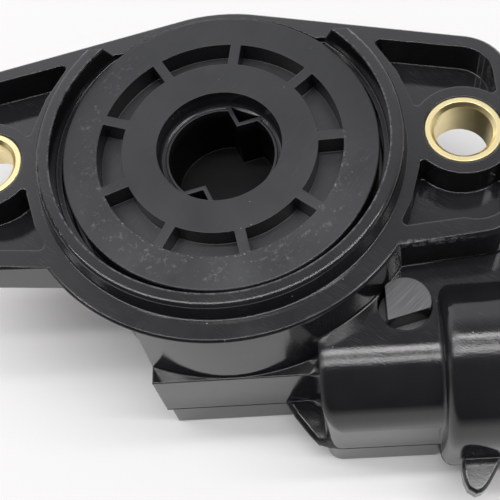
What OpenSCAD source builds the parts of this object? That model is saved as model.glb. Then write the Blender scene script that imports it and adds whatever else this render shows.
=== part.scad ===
// Throttle position sensor with a turning drive rotor and a side connector.
// Origin: on the rotor's axis, in the plane of the mounting face. +Z leaves that face,
// +X runs towards the connector's mouth, and the two ears lie along X.

/* [Mounting flange] */
// Distance between the two mounting holes
hole_spacing = 45; // [43:0.5:47]
// Thickness of the ears
ear_t = 4.4; // [4:0.1:5.5]
// Reach of each ear's end from the axis
ear_reach = 27.6; // [27.2:0.1:29]
// Half the width of an ear between its corner centres
ear_half_w = 6.15; // [5.5:0.05:6.5]
// Corner radius of the ears
ear_corner_r = 4.8; // [4:0.1:5.5]
// Radius of the plate behind the rotor
plate_r = 16.1; // [15.6:0.05:16.2]
// Radius of the flange's round front at the mounting face
front_r = 19.4; // [19:0.1:20]
// Chamfer along the ears' edges
ear_edge = 0.35; // [0.1:0.05:0.6]

/* [Ear pockets] */
// Depth of the pockets in the ears
pocket_d = 3.4; // [2:0.1:3.8]
// Wall left around the pockets
pocket_wall = 1.6; // [1.2:0.1:2]
// Radius of the boss around each bush
boss_r = 4.75; // [4.4:0.05:5]
// Radius where the pockets stop short of the rotor
pocket_inner_r = 18.5; // [18:0.1:19]

/* [Bushes] */
// Outer diameter of the bushes
bush_od = 7.2; // [6.6:0.1:7.8]
// Bore of the bushes
bush_bore = 5.3; // [5.1:0.1:5.8]

/* [Collar] */
// Inner radius of the raised collar
collar_in_r = 15.75; // [15.6:0.05:16]
// Outer radius of the collar at its top
collar_out_r = 17.05; // [16.8:0.05:17.3]
// Height of the collar over the mounting face
collar_h = 2; // [1:0.1:4]
// Distance from the ears' centre line at which the collar ends
collar_end_y = 11.1; // [8:0.1:14]

/* [Rotor] */
// Radius of the rotor's disc
rotor_r = 14.85; // [14:0.05:14.9]
// Height of the disc over the mounting face
rotor_top = 0.45; // [0:0.05:1]
// Thickness of the disc
disc_t = 3.65; // [3.2:0.05:3.8]
// Number of windows in the disc
window_count = 9; // [5:1:12]
// Angle by which the windows are turned from the ears' line
window_angle = 1.1; // [0:0.1:39]
// Inner radius of the windows
window_in_r = 9.23; // [8:0.01:10]
// Outer radius of the windows
window_out_r = 11.58; // [11:0.01:12.5]
// Depth of the windows
window_d = 2.15; // [1:0.05:2.6]
// Width of the ribs between the windows
window_rib = 1; // [0.6:0.1:2]
// Radius of the counterbore
sink_r = 5.9; // [5.5:0.05:6.4]
// Radius of the drive socket
socket_r = 5.07; // [4.8:0.01:5.3]
// Depth of the socket's floor below the mounting face
socket_d = 8; // [6:0.1:8.5]
// Radius at which the tips of the socket's keys stand
key_tip_r = 3.6; // [3.2:0.05:4.2]
// Angle of the first key, seen from the mounting side
key_angle = 64; // [50:1:80]

/* [Body] */
// Depth of the housing below the mounting face
body_d = 16.1; // [15.5:0.1:18]
// Radius of the body under the plate
body_r = 16; // [15.9:0.05:16.2]
// Depth at which the round front gives way to the square one
step_d = 8.1; // [6:0.1:10]
// Left side of the square front
front_left = -7.5; // [-9:0.1:-6]
// Left side of the neck that carries the connector
neck_left = 8; // [7.5:0.1:9]
// Right side of the neck
neck_right = 18.8; // [18:0.1:20]
// Reach of the neck's front face from the axis
neck_front = 24.8; // [24:0.1:26]
// Radius of the neck's upper front edge
neck_edge_r = 6; // [3:0.5:7]
// Radius of the neck's left front edge
neck_corner_r = 1.6; // [0.8:0.1:2.5]

/* [Connector] */
// Distance of the connector's centre from the ears' centre line
conn_y = 19.05; // [18.95:0.05:19.3]
// Depth of the connector's centre row below the mounting face
conn_z = 11; // [10.9:0.05:11.1]
// Width of the socket shell
conn_w = 15.7; // [15.5:0.1:15.9]
// Height of the socket shell
conn_h = 17; // [16.5:0.1:17]
// Depth of the socket shell's underside below the mounting face
conn_bottom = 19.5; // [19.4:0.1:19.6]
// Radius of the shell's upper front
conn_front_r = 8.5; // [8:0.1:8.5]
// Radius of the shell's lower edges
conn_low_r = 4; // [3.5:0.1:5]
// Wall thickness of the socket shell
conn_wall = 1.4; // [1.2:0.1:1.5]
// Position of the connector's mouth along X
conn_mouth = 37.5; // [35:0.5:42]
// Position of the connector's inner floor along X
conn_floor = 22.5; // [21.5:0.5:24]
// Distance between the terminals
pin_pitch = 4.2; // [4:0.1:4.3]
// Position of the terminals' tips along X
pin_tip = 32.5; // [30:0.5:34]

/* [Rear cover] */
// Thickness of the rear cover
cover_t = 4.3; // [3.4:0.1:5]
// How far the cover's round edge stands back from the body
cover_inset = 0.3; // [0.1:0.05:0.6]

/* [Return spring] */
// Wire diameter of the return spring
wire_d = 1; // [0.8:0.1:1.1]
// Turns of the return spring
spring_turns = 3.25; // [2.25:1:3.25]

/* [Hidden] */
$fn = 96;
cut = 1;

// Levels, all from the mounting face
disc_bottom = rotor_top - disc_t;
recess_r = 15.2;
recess_z = -3.8;
body_top = -3;
chamber_r = 12.2;
chamber_z = -9.6;
hub_r = 6.9;
washer_t = 0.4;
journal_r = 5;
journal_gap = 0.05;
bearing_z = -11.4;
wiper_chamber_r = 13.8;
front_y = 19.96;
tail_r = 4;
tail_z = -14.4;
tail_flat = 3;
ring_groove_r = 4.5;
ring_top = -11.5;
ring_t = 0.6;
carrier_top = -12.4;
carrier_t = 1.8;
carrier_z = carrier_top - carrier_t;
tray_d = 1.6;
tray_z = -body_d - tray_d;
board_t = 0.8;
board_top = tray_z + board_t;
film_t = 0.1;
film_top = board_top + film_t;
slide_gap = 0.05;
step_gap = 0.02;

// Tracks and wipers
arm_angle = 40;
sweep = 100;
track_r = 10.4;
track_w = 2.2;
collector_r = 7.4;
collector_w = 2;
finger_w = 0.7;
finger_t = 0.25;

// Terminals
strip_t = 0.6;
strip_w = 1.8;
bus_z = -13.5;
pin_t = 0.8;

// Plug in the neck's top
plug_x = 15.9;
plug_y = -15.2;
plug_r = 2.3;
plug_hole_r = 2.4;
plug_rise = 0.9;
plug_seat = -8;

function polar(r, a) = [r * cos(a), r * sin(a)];
function unit(v) = v / norm(v);

// A ring about the Z axis
module ring(r_in, r_out, z0, z1) {
    translate([0, 0, z0])
        difference() {
            cylinder(r = r_out, h = z1 - z0);
            translate([0, 0, -cut])
                cylinder(r = r_in, h = z1 - z0 + 2 * cut);
        }
}

// A disc with both edges chamfered by e
module soft_disc(r, z0, z1, e) {
    translate([0, 0, z0])
        rotate_extrude()
            polygon([[0, 0], [r - e, 0], [r, e], [r, z1 - z0 - e], [r - e, z1 - z0], [0, z1 - z0]]);
}

// A flat sector of a ring between two angles
module ring_sector2d(r_in, r_out, a0, a1) {
    steps = 24;
    function at(i) = a0 + (a1 - a0) * i / steps;
    intersection() {
        difference() {
            circle(r = r_out);
            circle(r = r_in);
        }
        polygon(concat([[0, 0]], [for (i = [0:steps]) polar(2 * r_out, at(i))]));
    }
}

// A tube through a list of points, closed at both ends
module tube(points, r, sides = 8) {
    last = len(points) - 1;
    function along(i) = unit(points[min(i + 1, last)] - points[max(i - 1, 0)]);
    function level(i) = unit(cross([0, 0, 1], along(i)));
    function upright(i) = cross(along(i), level(i));
    rings = [for (i = [0:last], k = [0:sides - 1])
        points[i] + r * (cos(360 * k / sides) * level(i) + sin(360 * k / sides) * upright(i))];
    walls = [for (i = [0:last - 1], k = [0:sides - 1])
        [(i + 1) * sides + k, (i + 1) * sides + (k + 1) % sides,
         i * sides + (k + 1) % sides, i * sides + k]];
    first_cap = [for (k = [0:sides - 1]) k];
    last_cap = [for (k = [0:sides - 1]) last * sides + sides - 1 - k];
    polyhedron(rings, concat(walls, [first_cap, last_cap]), convexity = 6);
}

// The right ear's far and near corners, mirrored for the left ear
module ear_corners(r, z0, z1, e) {
    for (sx = [-1, 1], sy = [-1, 1])
        translate([sx * (ear_reach - ear_corner_r), sy * ear_half_w, 0])
            soft_disc(r, z0, z1, e, $fn = 48);
}

// The two ears with the plate between them
module ear_plate() {
    hull()
        for (s = [-1, 1]) {
            translate([s * (ear_reach - ear_corner_r), ear_half_w, 0])
                soft_disc(ear_corner_r, -ear_t, 0, ear_edge, $fn = 48);
            soft_disc(plate_r, -ear_t, 0, ear_edge);
        }
    hull() {
        ear_corners(ear_corner_r, -ear_t, 0, ear_edge);
        translate([-15, -11.75 + ear_edge, -ear_t])
            cube([30, 10, ear_t]);
    }
}

// Outline of the right ear's pockets before they are split by the boss
module ear_inside2d() {
    corner_x = ear_reach - ear_corner_r;
    corner_r = ear_corner_r - pocket_wall;
    far_slope = 12.6;
    far = [corner_x, ear_half_w] + corner_r * [sin(far_slope), cos(far_slope)];
    translate([corner_x, ear_half_w])
        circle(r = corner_r);
    translate([corner_x, -ear_half_w])
        circle(r = corner_r);
    polygon([
        far, far + 14 * [-cos(far_slope), sin(far_slope)], [corner_x - 14, -10.1],
        [corner_x, -ear_half_w - corner_r + 0.35], [corner_x, -ear_half_w],
        [corner_x + corner_r, -ear_half_w], [corner_x + corner_r, ear_half_w]
    ]);
}

module ear_pockets2d() {
    offset(r = 0.45, $fn = 32)
        offset(delta = -0.45)
            difference() {
                ear_inside2d();
                circle(r = pocket_inner_r);
                translate([hole_spacing / 2, 0])
                    circle(r = boss_r);
            }
}

// Both pockets of both ears, open at the mounting face
module ear_pockets() {
    for (s = [0, 1])
        mirror([s, 0, 0])
            translate([0, 0, -pocket_d])
                linear_extrude(pocket_d + cut)
                    ear_pockets2d();
}

// Section of the collar, with its outer edge rounded and spare stock inside
module collar_section() {
    edge = 0.45;
    foot = 0.3;
    inside = collar_in_r - 0.3;
    polygon([
        [inside, -0.5], [inside, collar_h - edge], [collar_out_r, collar_h - edge],
        [collar_out_r + foot, 0], [collar_out_r + foot, -0.5]
    ]);
    translate([inside, 0])
        square([collar_out_r - edge - inside, collar_h]);
    translate([collar_out_r - edge, collar_h - edge])
        circle(r = edge, $fn = 20);
}

// The C-shaped collar, with sloping ends on the far side
module collar() {
    slope = 0.3;
    low = -1;
    high = collar_h + cut;
    reach = collar_out_r + cut;
    function end_at(z) = collar_end_y + slope * (collar_h - z);
    difference() {
        rotate_extrude($fn = 120)
            collar_section();
        translate([-reach, 0, 0])
            rotate([90, 0, 90])
                linear_extrude(2 * reach)
                    polygon([[end_at(high), high], [end_at(low), low], [2 * reach, low], [2 * reach, high]]);
    }
}

// Room inside the collar, down to a ledge just below the mounting face
module collar_room() {
    ledge_z = -0.7;
    end_y = 11.8;
    intersection() {
        translate([0, 0, ledge_z])
            cylinder(r = collar_in_r, h = collar_h + cut - ledge_z, $fn = 120);
        translate([-collar_out_r, -collar_out_r, ledge_z - cut])
            cube([2 * collar_out_r, collar_out_r + end_y, collar_h + 3 * cut - ledge_z]);
    }
}

// The round front of the flange, and the drafted wall below it as far as the square front
module round_front() {
    soft = 0.18;
    draft = 0.043;
    low = -step_d - cut;
    near = front_r + 2;
    side = 15.9;
    difference() {
        intersection() {
            rotate_extrude($fn = 120)
                polygon([
                    [0, low], [front_r - draft * low, low], [front_r + draft * soft, -soft],
                    [front_r - soft, 0], [0, 0]
                ]);
            union() {
                translate([-side, -near, -ear_t])
                    cube([2 * side, near - cut, ear_t + cut]);
                translate([front_left, -near, low - cut])
                    cube([neck_left - front_left + cut, near, -low + 2 * cut]);
            }
        }
        flange_undercut(near);
    }
}

// Left of the front wall the flange is only a lip, cut away below towards the body
module flange_undercut(near) {
    lip = 0.3;
    intersection() {
        rotate_extrude($fn = 120)
            polygon([
                [body_r + 0.4, -ear_t - cut], [body_r + 0.4, -ear_t], [front_r - 0.1, -lip],
                [near, -lip], [near, -ear_t - cut]
            ]);
        translate([-near, -near, -ear_t - 2 * cut])
            cube([near + front_left, near, ear_t + 3 * cut]);
    }
}

// The square front below the step, tangent to the round one
module square_front() {
    translate([front_left, -front_y, -body_d])
        cube([neck_left - front_left + cut, front_y, body_d - step_d]);
}

// Side view of the neck, with its upper front edge rounded
module neck_side2d() {
    top = -ear_t;
    back = -9;
    translate([-neck_front, -body_d])
        square([neck_front + back, body_d + top - neck_edge_r]);
    translate([-neck_front + neck_edge_r, -body_d])
        square([neck_front + back - neck_edge_r, body_d + top]);
    intersection() {
        translate([-neck_front + neck_edge_r, top - neck_edge_r])
            circle(r = neck_edge_r);
        translate([-neck_front, top - neck_edge_r])
            square(neck_edge_r);
    }
}

// Plan of the neck, with its left front edge rounded
module neck_plan2d() {
    r = neck_corner_r;
    translate([neck_left, -neck_front + r])
        square([neck_right - neck_left, neck_front]);
    translate([neck_left + r, -neck_front - cut])
        square([neck_right - neck_left - r, neck_front]);
    translate([neck_left + r, -neck_front + r])
        circle(r = r, $fn = 32);
}

module neck() {
    intersection() {
        translate([neck_left, 0, 0])
            rotate([90, 0, 90])
                linear_extrude(neck_right - neck_left)
                    neck_side2d();
        translate([0, 0, -body_d - cut])
            linear_extrude(body_d + cut)
                neck_plan2d();
    }
    // Web that ties the neck and the connector to the right ear
    translate([neck_left, -15, -ear_t - 3.2])
        cube([ear_reach - 1.6 - neck_left, 8.2, 3.2]);
}

// Flat tab with a sloping upper edge
module tab(points, z0, z1, slope_w, slope_h) {
    sliver = 0.01;
    hull() {
        translate([0, 0, z0])
            linear_extrude(z1 - z0 - slope_h)
                polygon(points);
        translate([0, 0, z1 - sliver])
            linear_extrude(sliver)
                offset(delta = -slope_w)
                    polygon(points);
    }
}

// Small triangular web in the corner between the body and the neck
module gusset() {
    t = 0.7;
    tab([
        [4.26, -19.9], [5.13, -21.43], [6.49, -23.35], [7.29, -24.28], [8.35, -24.62],
        [9.4, -24.78], [10.5, -24], [10.5, -19]
    ], -body_d, -body_d + t, 0.45, 0.35);
}

// Section of the connector across X: a wider round at the upper front than at the back
module conn_section2d(inset = 0) {
    front = -conn_y - conn_w / 2;
    back = -conn_y + conn_w / 2;
    bottom = -conn_bottom;
    top = bottom + conn_h;
    crown = front + conn_front_r;
    back_r = back - crown;
    module corner(y, z, r) {
        translate([y, z])
            circle(r = r - inset, $fn = 64);
    }
    module block(y0, y1, z0, z1) {
        translate([y0, z0])
            square([y1 - y0, z1 - z0]);
    }
    intersection() {
        corner(crown, top - conn_front_r, conn_front_r);
        block(front, crown, bottom + conn_low_r, top);
    }
    corner(crown, top - back_r, back_r);
    corner(front + conn_low_r, bottom + conn_low_r, conn_low_r);
    corner(back - conn_low_r, bottom + conn_low_r, conn_low_r);
    block(front + conn_low_r, back - conn_low_r, bottom + inset, bottom + conn_low_r);
    block(front + inset, crown, bottom + conn_low_r, top - conn_front_r);
    block(crown, back - inset, bottom + conn_low_r, top - back_r);
}

module along_connector(x0, x1) {
    translate([x0, 0, 0])
        rotate([90, 0, 90])
            linear_extrude(x1 - x0)
                children();
}

// Rounded tab on the shell's front that the mating plug's lock snaps over
module lock_lug() {
    tab([
        [20.4, -26.2], [20.3, -28], [20.38, -28.9], [20.65, -29.66], [21.3, -30.1],
        [21.8, -29.99], [22.2, -29.7], [22.7, -29.1], [24, -27.2], [24.4, -26.2]
    ], -15.3, -13.45, 0.25, 0.3);
}

// Shell with a rounded inner end
module connector_shell() {
    end_r = 1.1;
    slice = 0.01;
    difference() {
        union() {
            hull()
                for (a = [0:22.5:90])
                    along_connector(neck_right + end_r * (1 - cos(a)), neck_right + end_r + slice)
                        conn_section2d(end_r * (1 - sin(a)));
            along_connector(neck_right + end_r, conn_mouth)
                conn_section2d();
        }
        along_connector(conn_floor, conn_mouth + cut)
            conn_section2d(conn_wall);
    }
    lock_lug();
}

// Rooms inside the housing, from the rotor's recess down to the wiper chamber
module rotor_rooms() {
    translate([0, 0, recess_z])
        cylinder(r = recess_r, h = -recess_z + cut, $fn = 120);
    translate([0, 0, chamber_z])
        cylinder(r = chamber_r, h = -chamber_z);
    translate([0, 0, bearing_z - cut])
        cylinder(r = journal_r + journal_gap, h = chamber_z - bearing_z + 2 * cut);
    translate([0, 0, -body_d - cut])
        cylinder(r = wiper_chamber_r, h = body_d + cut + bearing_z);
    ring(14.4, 15.2, -body_d - cut, -body_d + 0.8);
    // Slot that holds the spring's lower leg
    rotate([0, 0, spring_low_a])
        translate([chamber_r - 1, -0.8, spring_z0 - 0.8])
            cube([2.4, 1.6, -spring_z0]);
}

module housing() {
    color([0.09, 0.09, 0.1])
        difference() {
            union() {
                ear_plate();
                collar();
                round_front();
                translate([0, 0, -body_d])
                    cylinder(r = body_r, h = body_d + body_top, $fn = 120);
                square_front();
                neck();
                gusset();
                connector_shell();
            }
            rotor_rooms();
            collar_room();
            ear_pockets();
            for (s = [-1, 1])
                translate([s * hole_spacing / 2, 0, -ear_t - cut])
                    cylinder(d = bush_od, h = ear_t + 2 * cut);
            translate([plug_x, plug_y, plug_seat])
                cylinder(r = plug_hole_r, h = -plug_seat);
            for (k = [0:2])
                terminal_shape(k);
        }
}

// Metal sleeve that takes the screw's load through an ear
module bush() {
    lead = 0.35;
    in_r = bush_bore / 2;
    out_r = bush_od / 2;
    rotate_extrude()
        polygon([
            [in_r, -ear_t + lead], [in_r + lead, -ear_t], [out_r, -ear_t], [out_r, -0.15],
            [out_r - 0.15, 0], [in_r + lead, 0], [in_r, -lead]
        ]);
}

module left_bush() {
    color([0.72, 0.58, 0.32])
        translate([-hole_spacing / 2, 0, 0])
            bush();
}

module right_bush() {
    color([0.72, 0.58, 0.32])
        translate([hole_spacing / 2, 0, 0])
            bush();
}

// Round plug with two flats, pressed into the neck
module vent_plug() {
    left_flat = 1.65;
    front_flat = 1.25;
    color([0.16, 0.16, 0.17])
        translate([plug_x, plug_y, plug_seat])
            difference() {
                cylinder(r = plug_r, h = -plug_seat - ear_t + plug_rise);
                translate([-left_flat - 3, -4, 2])
                    cube([3, 8, 8]);
                rotate([0, 0, 14.4])
                    translate([-4, -front_flat - 3, 2])
                        cube([8, 3, 8]);
            }
}

// Outline of a key's outer face, its inner face and the hollow between them
key_root_r = 5.6;
key_outer_a = 21.5;
key_inner_a = 16.5;
key_tip_out = polar(key_tip_r - 0.1, key_angle);
key_tip_in = polar(key_tip_r + 0.42, key_angle);
rim_z = -1.45;
function key_root(a) = polar(key_root_r, key_angle + a);

// Thin angled key that stands in from the socket's wall
module key2d() {
    polygon([
        key_tip_out, key_root(key_outer_a), key_root(key_inner_a),
        key_tip_in, key_root(-key_inner_a), key_root(-key_outer_a)
    ]);
}

module both_keys(z1) {
    translate([0, 0, -socket_d])
        linear_extrude(socket_d + z1)
            for (a = [0, 180])
                rotate([0, 0, a])
                    children();
}

// Counterbore with a hollowed foot around the socket's thin rim
module counterbore() {
    rim_r = socket_r + 0.25;
    foot_z = rim_z - 0.2;
    rotate_extrude()
        polygon([
            [0, rim_z], [rim_r, rim_z], [rim_r, foot_z], [rim_r + 0.15, foot_z],
            [sink_r - 0.2, foot_z + 0.12], [sink_r - 0.05, foot_z + 0.32], [sink_r, foot_z + 0.55],
            [sink_r, rotor_top + cut], [0, rotor_top + cut]
        ]);
}

// Outside of the rotor: disc, hub, journal and flattened tail
module rotor_outside() {
    edge = 0.12;
    hub_bottom = chamber_z + washer_t + slide_gap;
    ring_low = ring_top - ring_t;
    rotate_extrude($fn = 120)
        polygon([
            [0, rotor_top], [rotor_r - edge, rotor_top], [rotor_r - edge * 0.3, rotor_top - edge * 0.3],
            [rotor_r, rotor_top - edge], [rotor_r, disc_bottom], [hub_r, disc_bottom],
            [hub_r, hub_bottom], [journal_r, hub_bottom], [journal_r, ring_top],
            [ring_groove_r, ring_top], [ring_groove_r, ring_low], [journal_r, ring_low],
            [journal_r, carrier_top], [0, carrier_top]
        ]);
    intersection() {
        translate([0, 0, tail_z])
            cylinder(r = tail_r, h = carrier_top - tail_z);
        rotate([0, 0, arm_angle])
            translate([-tail_r, -tail_flat, tail_z - cut])
                cube([2 * tail_r, 2 * tail_flat, carrier_top - tail_z + cut]);
    }
}

module rotor() {
    step = 360 / window_count;
    color([0.11, 0.11, 0.12]) {
        difference() {
            rotor_outside();
            for (i = [0:window_count - 1])
                rotate([0, 0, window_angle + step * i])
                    window_pocket();
            counterbore();
            translate([0, 0, -socket_d])
                cylinder(r = socket_r, h = socket_d);
            both_keys(0)
                polygon([key_tip_in, key_root(key_inner_a), key_root(-key_inner_a)]);
            // Slot that takes the spring's upper leg
            rotate([0, 0, spring_top_a])
                translate([hub_r - 1.2, -0.7, spring_z1 - 0.7])
                    cube([2, 1.4, disc_bottom - spring_z1 + 0.7]);
        }
        both_keys(rim_z)
            key2d();
    }
}

// Pocket between two ribs that run along radii
module window_pocket() {
    step = 360 / window_count;
    side = window_rib / 2;
    far = 2 * window_out_r;
    mid = step / 2;
    inner = side / sin(mid);
    translate([0, 0, rotor_top - window_d])
        linear_extrude(window_d + cut)
            intersection() {
                difference() {
                    circle(r = window_out_r, $fn = 120);
                    circle(r = window_in_r, $fn = 120);
                }
                polygon([
                    polar(inner, mid),
                    polar(inner, mid) + far * [1, 0],
                    polar(inner, mid) + far * polar(1, mid),
                    polar(inner, mid) + far * polar(1, step)
                ]);
            }
}

// Soft ring that keeps dust out from under the disc
module dust_seal() {
    color([0.2, 0.2, 0.2])
        ring(12.5, 14.8, recess_z, recess_z + 0.5);
}

module thrust_washer() {
    color([0.85, 0.85, 0.8])
        ring(journal_r + 0.1, 8, chamber_z, chamber_z + washer_t);
}

// Torsion spring around the hub, with one leg out into the housing and one in to the hub
spring_r = 9.3;
spring_z0 = chamber_z + 1;
spring_pitch = wire_d + 0.12;
spring_z1 = spring_z0 + spring_turns * spring_pitch;
spring_low_a = 200;
spring_top_a = spring_low_a + 360 * spring_turns;

module return_spring() {
    steps = 20;
    count = steps * spring_turns;
    function at(r, a, z) = [r * cos(a), r * sin(a), z];
    low_leg = [
        at(chamber_r + 1, spring_low_a, spring_z0), at(spring_r + 1.1, spring_low_a, spring_z0),
        at(spring_r + 0.4, spring_low_a + 1.5, spring_z0), at(spring_r, spring_low_a + 7, spring_z0)
    ];
    coil = [for (i = [1:count - 1])
        at(spring_r, spring_low_a + 360 * i / steps, spring_z0 + spring_pitch * i / steps)];
    top_leg = [
        at(spring_r, spring_top_a - 7, spring_z1), at(spring_r - 0.4, spring_top_a - 1.5, spring_z1),
        at(spring_r - 1.1, spring_top_a, spring_z1), at(hub_r - 0.9, spring_top_a, spring_z1)
    ];
    color([0.7, 0.7, 0.72])
        tube(concat(low_leg, coil, top_leg), wire_d / 2);
}

// Open ring in the journal's groove, which keeps the rotor in the housing
module retaining_ring() {
    gap = 3;
    color([0.62, 0.62, 0.65])
        difference() {
            ring(ring_groove_r, 6.4, ring_top - ring_t, ring_top);
            rotate([0, 0, arm_angle + 180])
                translate([0, -gap / 2, ring_top - ring_t - cut])
                    cube([10, gap, ring_t + 2 * cut]);
        }
}

// Moulded arm that turns with the rotor's tail and carries both wipers
module wiper_carrier() {
    reach = 12;
    arm_w = 6;
    color([0.85, 0.8, 0.68])
        difference() {
            translate([0, 0, carrier_z])
                union() {
                    cylinder(r = 6, h = carrier_t);
                    rotate([0, 0, arm_angle])
                        translate([0, -arm_w / 2, 0])
                            cube([reach, arm_w, carrier_t]);
                }
            translate([0, 0, carrier_z - cut])
                intersection() {
                    cylinder(r = tail_r + step_gap, h = carrier_t + 2 * cut);
                    rotate([0, 0, arm_angle])
                        translate([-tail_r - 1, -tail_flat - step_gap, 0])
                            cube([2 * tail_r + 2, 2 * (tail_flat + step_gap), carrier_t + 2 * cut]);
                }
        }
}

// Spring strip under the arm, with two fingers that bend down to the film
module wiper(r) {
    base_z = carrier_z - finger_t;
    low = film_top + slide_gap;
    rotate([0, 0, arm_angle])
        translate([r, 0, 0]) {
            translate([-finger_w - 0.15, -2.4, base_z])
                cube([2 * finger_w + 0.3, 3.6, finger_t]);
            for (s = [-1, 1])
                translate([s * (finger_w / 2 + 0.15) + finger_w / 2, 0, 0])
                    rotate([90, 0, -90])
                        linear_extrude(finger_w)
                            polygon([
                                [2.4, base_z + finger_t], [2.4, base_z], [1.6, base_z - 0.1],
                                [-1.3, low + 0.35], [-1.6, low], [-2, low], [-2.8, low + 0.7],
                                [-2.6, low + 0.9], [-1.9, low + finger_t], [-1.7, low + finger_t],
                                [-1.4, low + 0.65], [1.3, base_z + finger_t]
                            ]);
        }
}

module track_wiper() {
    color([0.85, 0.7, 0.4])
        wiper(track_r);
}

module collector_wiper() {
    color([0.85, 0.7, 0.4])
        wiper(collector_r);
}

// Plate that carries the films, lying in the cover's tray
module element_board() {
    color([0.9, 0.88, 0.82])
        translate([0, 0, tray_z])
            difference() {
                cylinder(r = 13.5, h = board_t);
                translate([-15, 12, -cut])
                    cube([30, 5, board_t + 2 * cut]);
            }
}

module film(r, w, a0, a1) {
    translate([0, 0, board_top])
        linear_extrude(film_t)
            ring_sector2d(r - w / 2, r + w / 2, a0, a1);
}

module resistive_track() {
    color([0.12, 0.12, 0.13])
        film(track_r, track_w, arm_angle - 30, arm_angle + sweep + 10);
}

module collector_track() {
    color([0.18, 0.18, 0.2])
        film(collector_r, collector_w, arm_angle - 38, arm_angle + sweep + 10);
}

// Pad under a clip, carried on as far as y1
module pad2d(k, y1) {
    half_w = 0.7;
    y0 = strip_end(k) - 1;
    translate([pad_x(k) - half_w, y0])
        square([2 * half_w, y1 - y0]);
}

// Silver traces from the films' ends to the pads under the clips
module conductor_traces() {
    low_a = arm_angle - 30;
    high_a = arm_angle + sweep + 10;
    mid_a = arm_angle - 38;
    gap = 0.05;
    color([0.78, 0.78, 0.8])
        translate([0, 0, board_top])
            linear_extrude(film_t) {
                ring_sector2d(track_r - 1, track_r + 1, low_a - 50, low_a - gap);
                pad2d(2, -6.6);
                ring_sector2d(track_r - 1, track_r + 1, high_a + gap, 270);
                pad2d(0, -9);
                ring_sector2d(collector_r - 0.9, collector_r + 0.9, mid_a - 60, mid_a - gap);
                pad2d(1, -5.5);
            }
}

// Each terminal runs from its pin down a riser and along its own lane to the wiper chamber
function riser_x(k) = 12 + 2.5 * k;
function lane_y(k) = -18.6 + 2 * k;
function pad_x(k) = 4.2 * k;
function pin_z(k) = -conn_z + pin_pitch * (1 - k);
function strip_end(k) = -sqrt(wiper_chamber_r * wiper_chamber_r - pad_x(k) * pad_x(k)) + 2.4;

module strip(p, q) {
    low = [min(p[0], q[0]), min(p[1], q[1])] - [strip_w / 2, strip_w / 2];
    high = [max(p[0], q[0]), max(p[1], q[1])] + [strip_w / 2, strip_w / 2];
    translate([low[0], low[1], bus_z - strip_t / 2])
        cube([high[0] - low[0], high[1] - low[1], strip_t]);
}

module terminal_shape(k) {
    x = riser_x(k);
    z0 = min(pin_z(k), bus_z);
    z1 = max(pin_z(k), bus_z);
    translate([x - pin_t / 2, -conn_y - pin_t / 2, z0 - strip_t / 2])
        cube([pin_t, pin_t, z1 - z0 + strip_t]);
    difference() {
        translate([x - pin_t / 2, -conn_y - pin_t / 2, pin_z(k) - strip_w / 2])
            cube([pin_tip - x + pin_t / 2, pin_t, strip_w]);
        for (s = [-1, 1])
            translate([pin_tip, -conn_y, pin_z(k) + s * (strip_w / 2 + 0.45)])
                rotate([0, s * 20, 0])
                    cube([5, 3, 1.2], center = true);
    }
    strip([x, -conn_y], [x, lane_y(k)]);
    strip([pad_x(k), lane_y(k)], [x, lane_y(k)]);
    strip([pad_x(k), lane_y(k)], [pad_x(k), strip_end(k) - strip_w / 2]);
}

module terminal(k) {
    color([0.75, 0.74, 0.7])
        terminal_shape(k);
}

module terminal_1() { terminal(0); }
module terminal_2() { terminal(1); }
module terminal_3() { terminal(2); }

// Curved strip that presses a terminal's end onto its pad
module board_clip(k) {
    w = 1.2;
    t = 0.25;
    top = bus_z - strip_t / 2;
    low = board_top + film_t;
    y = strip_end(k);
    color([0.85, 0.72, 0.45])
        translate([pad_x(k) + w / 2, y, 0])
            rotate([90, 0, -90])
                linear_extrude(w)
                    polygon([
                        [0.1, top], [1.5, top], [1.5, top - t], [0.5, top - t], [-0.4, top - 0.9],
                        [-0.5, low + 0.9], [0.2, low + t], [1, low + t], [1, low], [0.1, low],
                        [-0.75, low + 0.8], [-0.65, top - 0.8]
                    ]);
}

module board_clip_1() { board_clip(0); }
module board_clip_2() { board_clip(1); }
module board_clip_3() { board_clip(2); }

module cover_seal() {
    color([0.45, 0.2, 0.12])
        ring(14.45, 15.15, -body_d, -body_d + 0.75);
}

// Outline of the rear cover, a little inside the body's own
module cover_plan2d() {
    in = 0.1;
    left_in = 0.45;
    back_y = -9;
    corner = neck_corner_r;
    circle(r = body_r - cover_inset, $fn = 120);
    translate([front_left + left_in, -front_y + in])
        square([neck_left - front_left, front_y + back_y]);
    translate([neck_left + in, -neck_front + corner])
        square([neck_right - neck_left - 2 * in, neck_front + back_y - corner]);
    translate([neck_left + corner, -neck_front + in])
        square([neck_right - neck_left - corner - in, neck_front + back_y]);
    translate([neck_left + corner, -neck_front + corner])
        circle(r = corner - in, $fn = 32);
}

module rear_cover() {
    edge = 0.2;
    color([0.08, 0.08, 0.09])
        difference() {
            union() {
                translate([0, 0, -body_d - cover_t + edge])
                    linear_extrude(cover_t - edge)
                        cover_plan2d();
                translate([0, 0, -body_d - cover_t])
                    linear_extrude(edge)
                        offset(delta = -edge / 2)
                            cover_plan2d();
            }
            translate([0, 0, tray_z])
                cylinder(r = 13.6, h = tray_d + cut);
        }
}

housing();
left_bush();
right_bush();
vent_plug();
rotor();
dust_seal();
thrust_washer();
return_spring();
retaining_ring();
wiper_carrier();
track_wiper();
collector_wiper();
element_board();
resistive_track();
collector_track();
conductor_traces();
board_clip_1();
board_clip_2();
board_clip_3();
terminal_1();
terminal_2();
terminal_3();
cover_seal();
rear_cover();
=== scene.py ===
"""Finishes, rounded edges and a studio for a throttle position sensor, laid out as an add-on."""

import math

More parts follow.
